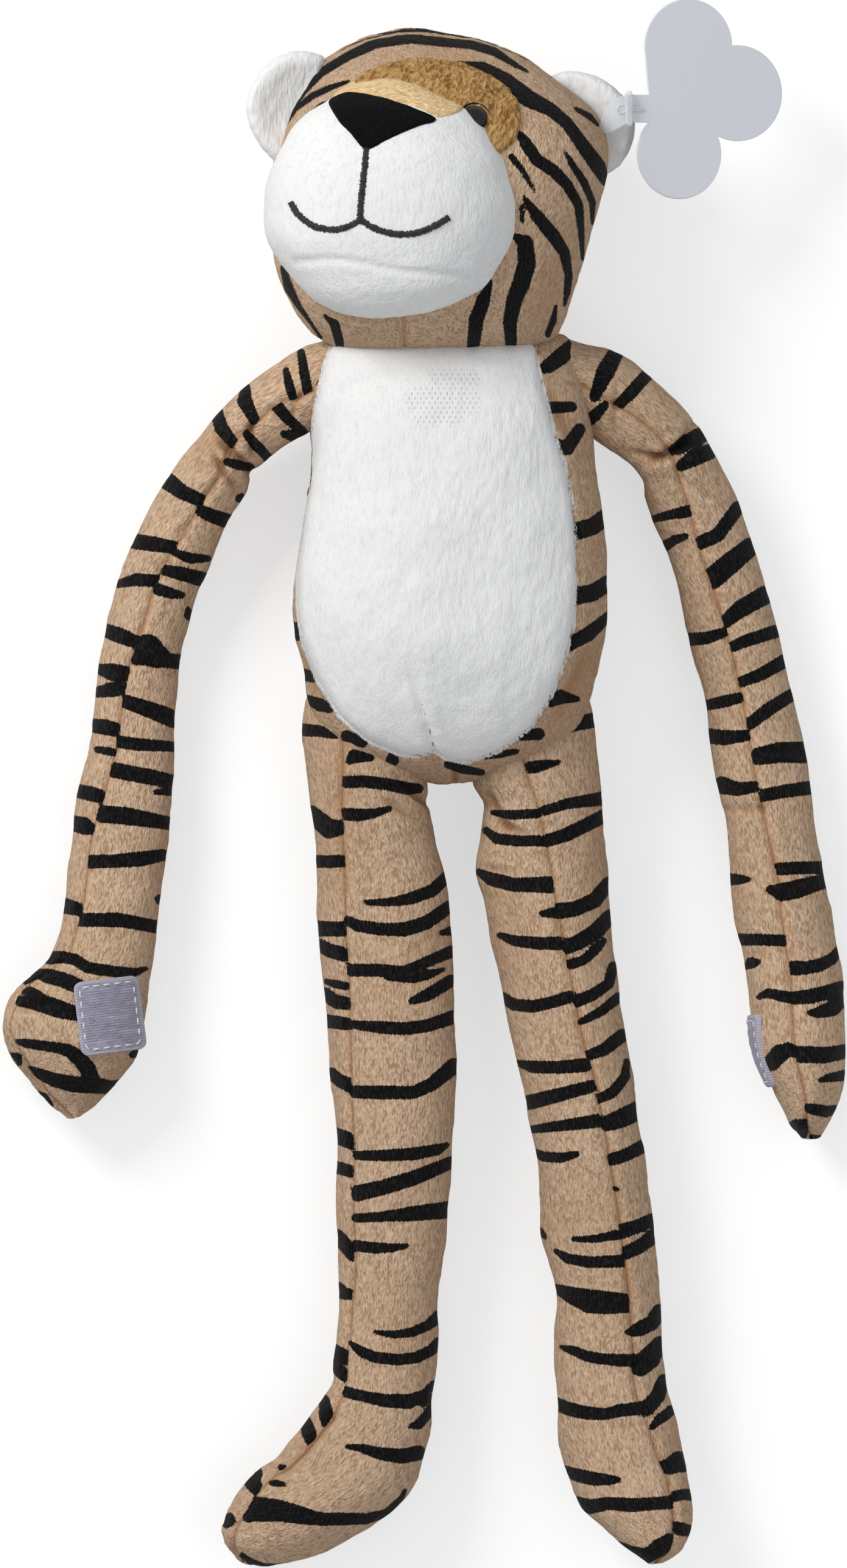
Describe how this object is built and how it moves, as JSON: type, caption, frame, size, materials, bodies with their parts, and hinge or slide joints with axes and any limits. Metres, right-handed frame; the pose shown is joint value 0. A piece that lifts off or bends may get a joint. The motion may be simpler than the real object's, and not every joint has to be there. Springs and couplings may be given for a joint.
{
  "type": "plush tiger",
  "caption": "Long-limbed plush tiger lying on its back, with jointed head, arms, legs, ears and tail, palm closure pads and a blank swing tag.",
  "frame": {"origin": "middle of the flat patch on the back that the torso lies on", "axes": "+Y from the feet to the head, +Z out of the belly, +X towards the toy's left arm, which is the reader's right when the belly faces them"},
  "size_m": [0.2772, 0.5167, 0.1042],
  "materials": {
    "striped_plush": "short ribbed pile, black stripes on tan",
    "white_plush": "short white pile",
    "mask_plush": "golden brown pile",
    "bridge_plush": "cream pile",
    "nose_plush": "black short pile",
    "filling": "loose polyester fibre",
    "seam_tape": "folded seam allowance",
    "thread": "satin stitch",
    "pad_tape": "hook-and-loop tape, lavender grey",
    "eye_plastic": "polished",
    "card": "coated card, blank",
    "clear_plastic": "clear moulded"
  },
  "bodies": {
    "torso": {"torso_cover": "striped_plush", "torso_filling": "filling", "belly_panel": "white_plush"},
    "neck": {"neck_seam": "seam_tape"},
    "head": {"head_cover": "striped_plush", "head_filling": "filling", "muzzle_cover": "white_plush", "muzzle_filling": "filling", "nose": "nose_plush", "nose_bridge": "bridge_plush", "eye_mask": "mask_plush", "eye_left": "eye_plastic", "eye_right": "eye_plastic", "philtrum": "thread", "smile_left": "thread", "smile_right": "thread"},
    "ear_left": {"ear_front_left": "white_plush", "ear_back_left": "striped_plush"},
    "ear_right": {"ear_front_right": "white_plush", "ear_back_right": "striped_plush", "tag_clip": "clear_plastic"},
    "tag": {"tag_card": "card"},
    "tail": {"tail_cover": "striped_plush", "tail_filling": "filling"},
    "shoulder_left": {"shoulder_seam_left": "seam_tape"},
    "upper_arm_left": {"upper_arm_left_cover": "striped_plush", "upper_arm_left_filling": "filling"},
    "forearm_left": {"forearm_left_cover": "striped_plush", "forearm_left_filling": "filling"},
    "hand_left": {"hand_left_cover": "striped_plush", "hand_left_filling": "filling", "palm_pad_left": "pad_tape", "pad_stitching_left": "thread"},
    "hip_left": {"hip_seam_left": "seam_tape"},
    "thigh_left": {"thigh_left_cover": "striped_plush", "thigh_left_filling": "filling"},
    "shin_left": {"shin_left_cover": "striped_plush", "shin_left_filling": "filling"},
    "foot_left": {"foot_left_cover": "striped_plush", "foot_left_filling": "filling"},
    "shoulder_right": {"shoulder_seam_right": "seam_tape"},
    "upper_arm_right": {"upper_arm_right_cover": "striped_plush", "upper_arm_right_filling": "filling"},
    "forearm_right": {"forearm_right_cover": "striped_plush", "forearm_right_filling": "filling"},
    "hand_right": {"hand_right_cover": "striped_plush", "hand_right_filling": "filling", "palm_pad_right": "pad_tape", "pad_stitching_right": "thread"},
    "hip_right": {"hip_seam_right": "seam_tape"},
    "thigh_right": {"thigh_right_cover": "striped_plush", "thigh_right_filling": "filling"},
    "shin_right": {"shin_right_cover": "striped_plush", "shin_right_filling": "filling"},
    "foot_right": {"foot_right_cover": "striped_plush", "foot_right_filling": "filling"}
  },
  "joints": [
    {"name": "neck_turn", "type": "hinge", "parent": "torso", "child": "neck", "pos_m": [0, 0.0385, 0.0345], "axis": [0, 1, 0], "range_deg": [-40, 40]},
    {"name": "neck_nod", "type": "hinge", "parent": "neck", "child": "head", "pos_m": [0, 0.0385, 0.0345], "axis": [1, 0, 0], "range_deg": [-18, 15]},
    {"name": "ear_left_fold", "type": "hinge", "parent": "head", "child": "ear_left", "pos_m": [-0.04588, 0.15164, 0.06], "axis": [-0.5446, -0.8387, 0], "range_deg": [-2, 22], "stiffness_Nm_per_rad": 0.02},
    {"name": "ear_right_fold", "type": "hinge", "parent": "head", "child": "ear_right", "pos_m": [0.04836, 0.14765, 0.037], "axis": [0.454, -0.891, 0], "range_deg": [-18, 4], "stiffness_Nm_per_rad": 0.02},
    {"name": "tag_swing", "type": "hinge", "parent": "ear_right", "child": "tag", "pos_m": [0.0625, 0.15, 0.051], "axis": [0.3746, 0, 0.9272], "range_deg": [-30, 60]},
    {"name": "shoulder_left_swing", "type": "hinge", "parent": "torso", "child": "shoulder_left", "pos_m": [-0.05484, 0.05, 0.029], "axis": [0, 0, -1], "range_deg": [-14, 80]},
    {"name": "shoulder_left_lift", "type": "hinge", "parent": "shoulder_left", "child": "upper_arm_left", "pos_m": [-0.05484, 0.05, 0.029], "axis": [-0.8141, 0.5807, 0], "range_deg": [-60, 80]},
    {"name": "elbow_left", "type": "hinge", "parent": "upper_arm_left", "child": "forearm_left", "pos_m": [-0.10151, -0.01542, 0.0127], "axis": [0.9954, -0.0958, 0], "range_deg": [-75, 75]},
    {"name": "wrist_left", "type": "hinge", "parent": "forearm_left", "child": "hand_left", "pos_m": [-0.11196, -0.12391, 0.0147], "axis": [-0.9703, 0.2419, 0], "range_deg": [-50, 50]},
    {"name": "shoulder_right_swing", "type": "hinge", "parent": "torso", "child": "shoulder_right", "pos_m": [0.05486, 0.05, 0.029], "axis": [0, 0, 1], "range_deg": [-6, 80]},
    {"name": "shoulder_right_lift", "type": "hinge", "parent": "shoulder_right", "child": "upper_arm_right", "pos_m": [0.05486, 0.05, 0.029], "axis": [0.8746, 0.4848, 0], "range_deg": [-80, 60]},
    {"name": "elbow_right", "type": "hinge", "parent": "upper_arm_right", "child": "forearm_right", "pos_m": [0.09382, -0.02029, 0.0127], "axis": [-0.9863, -0.165, 0], "range_deg": [-75, 75]},
    {"name": "wrist_right", "type": "hinge", "parent": "forearm_right", "child": "hand_right", "pos_m": [0.11181, -0.12777, 0.0147], "axis": [0, 0, 1], "range_deg": [-25, 50]},
    {"name": "hip_left_spread", "type": "hinge", "parent": "torso", "child": "hip_left", "pos_m": [-0.0275, -0.08227, 0.0185], "axis": [0, 0, -1], "range_deg": [-4, 26]},
    {"name": "hip_left_flex", "type": "hinge", "parent": "hip_left", "child": "thigh_left", "pos_m": [-0.0275, -0.08227, 0.0185], "axis": [-0.9954, -0.0958, 0], "range_deg": [-60, 55]},
    {"name": "knee_left", "type": "hinge", "parent": "thigh_left", "child": "shin_left", "pos_m": [-0.01974, -0.16289, 0.0195], "axis": [0.9998, -0.0174, 0], "range_deg": [-75, 75]},
    {"name": "ankle_left", "type": "hinge", "parent": "shin_left", "child": "foot_left", "pos_m": [-0.02148, -0.26285, 0.017], "axis": [0, 0, 1], "range_deg": [-30, 50]},
    {"name": "hip_right_spread", "type": "hinge", "parent": "torso", "child": "hip_right", "pos_m": [0.0295, -0.08111, 0.0185], "axis": [0, 0, 1], "range_deg": [-4, 18]},
    {"name": "hip_right_flex", "type": "hinge", "parent": "hip_right", "child": "thigh_right", "pos_m": [0.0295, -0.08111, 0.0185], "axis": [-0.9903, -0.1392, 0], "range_deg": [-60, 55]},
    {"name": "knee_right", "type": "hinge", "parent": "thigh_right", "child": "shin_right", "pos_m": [0.04077, -0.16131, 0.0195], "axis": [0.9936, 0.1132, 0], "range_deg": [-75, 75]},
    {"name": "ankle_right", "type": "hinge", "parent": "shin_right", "child": "foot_right", "pos_m": [0.05209, -0.26064, 0.017], "axis": [-0.9455, -0.3256, 0], "range_deg": [-35, 45]},
    {"name": "tail_swing", "type": "hinge", "parent": "torso", "child": "tail", "pos_m": [0, -0.061, 0.005], "axis": [-1, 0, 0], "range_deg": [0, 100]}
  ]
}
